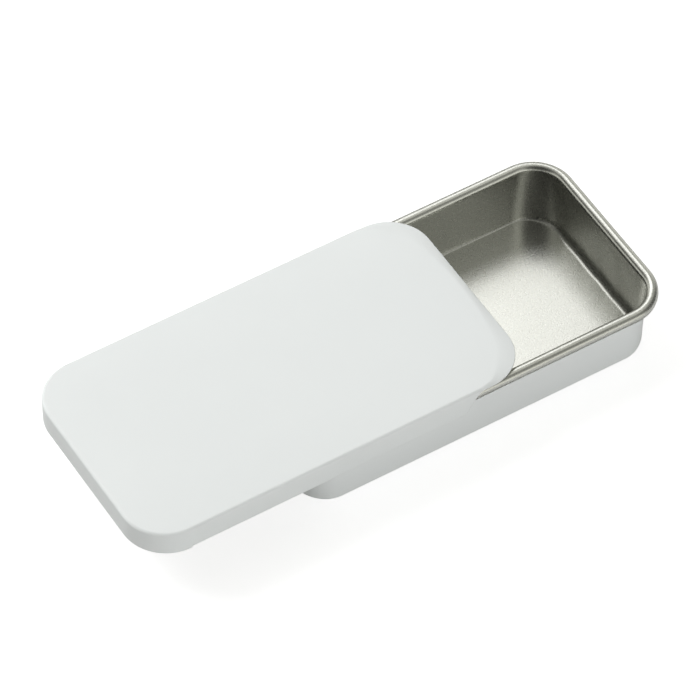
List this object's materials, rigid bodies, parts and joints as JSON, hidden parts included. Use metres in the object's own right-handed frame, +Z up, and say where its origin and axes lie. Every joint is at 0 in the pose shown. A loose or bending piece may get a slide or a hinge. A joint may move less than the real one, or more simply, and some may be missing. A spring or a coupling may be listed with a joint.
{
  "type": "slide-lid tin",
  "caption": "Flat pocket tin: a drawn tray with a curled rim, and a lid with side rails that slides lengthwise along the rim and off.",
  "frame": {"origin": "centre of the tray's bottom, on the surface that the tin stands on", "axes": "+X along the tray towards the end that the open lid uncovers, +Z up"},
  "size_m": [0.0832, 0.0332, 0.0115],
  "materials": {
    "bare_tinplate": "bare tinplate inside and over the rim's curl, white enamel on the outer walls and the bottom",
    "white_enamel": "satin white enamel outside, bare tinplate inside and on the cut edges"
  },
  "bodies": {
    "tray": {"tray": "bare_tinplate"},
    "lid": {"slide_lid": "white_enamel"}
  },
  "joints": [
    {"name": "lid_slide", "type": "slide", "parent": "tray", "child": "lid", "axis": [-1, 0, 0], "range_m": [-0.0237, 0.0365]}
  ]
}
